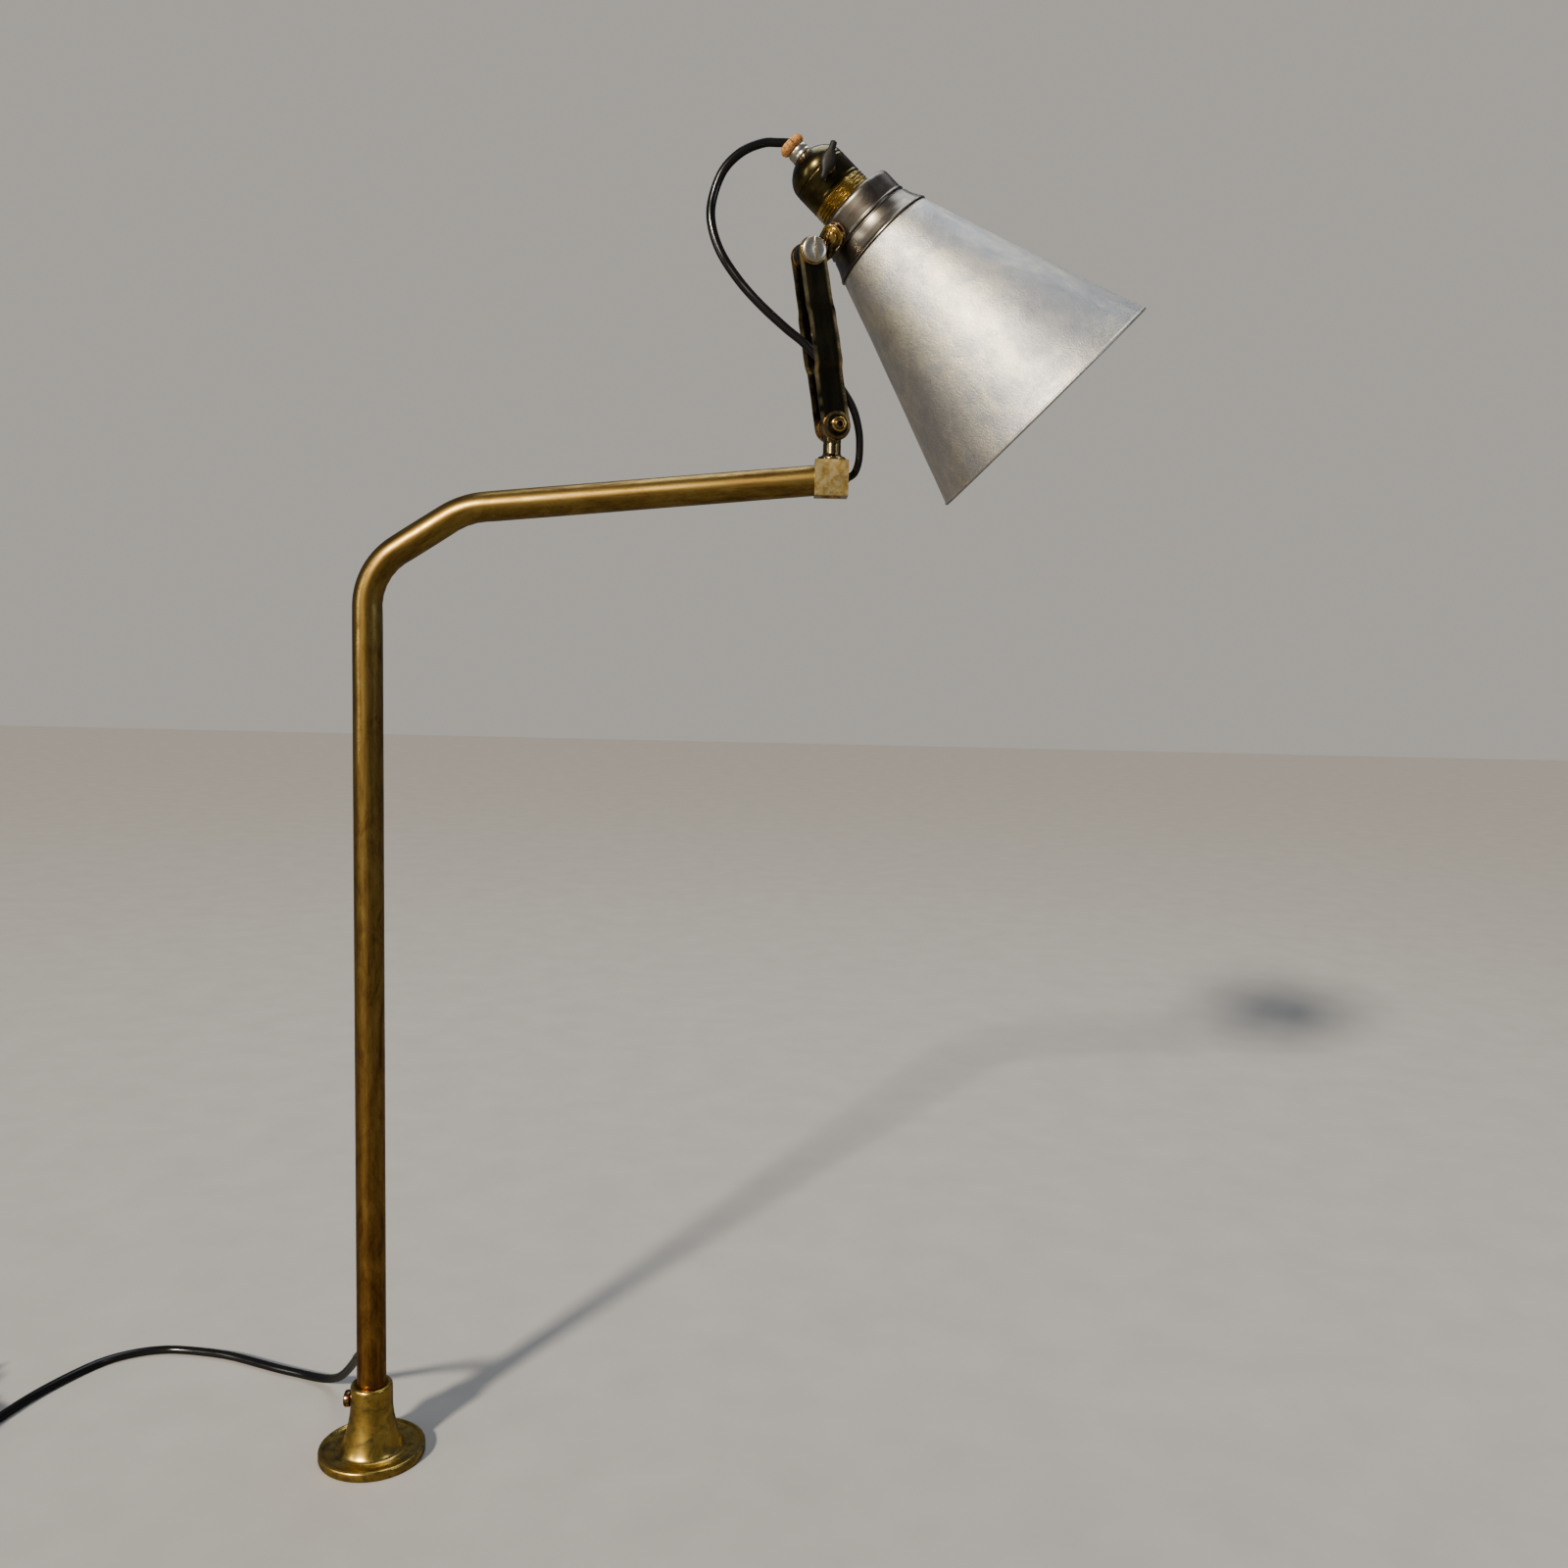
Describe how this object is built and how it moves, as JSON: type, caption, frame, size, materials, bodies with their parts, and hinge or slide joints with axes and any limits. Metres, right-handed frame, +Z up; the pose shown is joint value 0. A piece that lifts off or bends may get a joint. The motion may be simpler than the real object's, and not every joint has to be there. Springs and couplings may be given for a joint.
{
  "type": "articulated bench lamp",
  "caption": "Brass bench lamp: flanged post with bent-over arm, swivelling friction-jointed link, key-switch bayonet holder and conical aluminium shade.",
  "frame": {"origin": "centre of the base flange's underside, on the bench, at the mouth of the fixing hole", "axes": "+Z up along the post, +X along the reach of the arm, +Y across"},
  "size_m": [0.7053, 0.1689, 0.7189],
  "materials": {
    "turned_brass": "polished, lightly lacquered turned brass",
    "aged_brass": "aged drawn tube, brown patina with bright streaks",
    "bright_block_brass": "rubbed machined brass",
    "pivot_brass": "dull brass fastener",
    "nickelled_brass": "worn nickel over brass",
    "bronzed_plate": "chemically blackened brass with bright edges",
    "gunmetal": "dark nickelled brass, satin",
    "holder_bronze": "dark bronzed brass, glossy",
    "spun_aluminium": "hazy satin spun aluminium with mottled oxide",
    "cork_grip": "turned boxwood",
    "porcelain": "glazed white porcelain",
    "bakelite": "black moulded bakelite",
    "fibre_washer": "red-brown vulcanised fibre",
    "black_pvc": "glossy black flexible pvc",
    "spring_steel": "plain spring wire"
  },
  "bodies": {
    "stand": {"base_flange": "turned_brass", "flange_set_screw": "pivot_brass", "post_tube": "aged_brass", "post_exit_bush": "black_pvc", "end_block": "bright_block_brass", "stem_thrust_washer": "fibre_washer", "flex_in_post": "black_pvc", "flex_at_block": "black_pvc", "mains_flex": "black_pvc", "mains_flex_coil": "black_pvc", "plug_body": "bakelite", "plug_pins": "turned_brass"},
    "stem": {"swivel_stem": "pivot_brass", "stem_retaining_screw": "pivot_brass", "flex_at_stem": "black_pvc"},
    "arm": {"arm_plate_front": "bronzed_plate", "arm_plate_back": "bronzed_plate", "lower_pivot_bolt": "pivot_brass", "lower_pivot_washers": "pivot_brass", "lower_pivot_nut": "pivot_brass", "lower_friction_washers": "fibre_washer", "upper_pivot_screw": "nickelled_brass", "upper_pivot_washers": "pivot_brass", "upper_pivot_nut": "pivot_brass", "upper_friction_washers": "fibre_washer", "flex_at_arm": "black_pvc"},
    "knuckle_link": {"knuckle": "bronzed_plate"},
    "head": {"head_pivot_screw": "turned_brass", "head_pivot_washer": "turned_brass", "head_friction_washer": "fibre_washer", "collar": "gunmetal", "shade": "spun_aluminium", "shade_ring": "gunmetal", "holder_barrel": "turned_brass", "holder_body": "holder_bronze", "holder_cap": "holder_bronze", "cord_grip_nut": "nickelled_brass", "cord_grip_halves": "cork_grip", "holder_insulator": "porcelain", "terminal_screws": "turned_brass", "switch_bush": "pivot_brass", "plunger_springs": "spring_steel", "flex_at_head": "black_pvc"},
    "plunger_left": {"contact_plunger_left": "turned_brass"},
    "plunger_right": {"contact_plunger_right": "turned_brass"},
    "switch": {"switch_spindle": "pivot_brass", "switch_key": "bakelite"}
  },
  "joints": [
    {"name": "stem_swivel", "type": "hinge", "parent": "stand", "child": "stem", "pos_m": [0.243, 0, 0.5511], "axis": [0, 0, 1], "range_deg": [-110, 110], "deforming": ["flex_at_block"]},
    {"name": "arm_tilt", "type": "hinge", "parent": "stem", "child": "arm", "pos_m": [0.243, 0, 0.5689], "axis": [-0.3007, 0.9537, 0], "range_deg": [-35, 20], "deforming": ["flex_at_stem"]},
    {"name": "knuckle_tilt", "type": "hinge", "parent": "arm", "child": "knuckle_link", "pos_m": [0.22815, -0.00468, 0.6546], "axis": [-0.3007, 0.9537, 0], "range_deg": [-75, 12], "deforming": ["flex_at_arm"]},
    {"name": "shade_swivel", "type": "hinge", "parent": "knuckle_link", "child": "head", "pos_m": [0.24133, -0.00773, 0.66379], "axis": [-0.5162, -0.6691, -0.5346], "range_deg": [-15, 30], "deforming": ["flex_at_head"]},
    {"name": "contact_left", "type": "slide", "parent": "head", "child": "plunger_left", "axis": [-0.7193, 0, 0.6947], "range_m": [0, 0.0025], "stiffness_N_per_m": 1200, "springref_m": -0.002, "deforming": ["plunger_springs"]},
    {"name": "contact_right", "type": "slide", "parent": "head", "child": "plunger_right", "axis": [-0.7193, 0, 0.6947], "range_m": [0, 0.0025], "stiffness_N_per_m": 1200, "springref_m": -0.002},
    {"name": "switch_turn", "type": "hinge", "parent": "head", "child": "switch", "pos_m": [0.23693, -0.01212, 0.6981], "axis": [0.0605, -0.9962, 0.0627], "range_deg": [0, 90]}
  ]
}
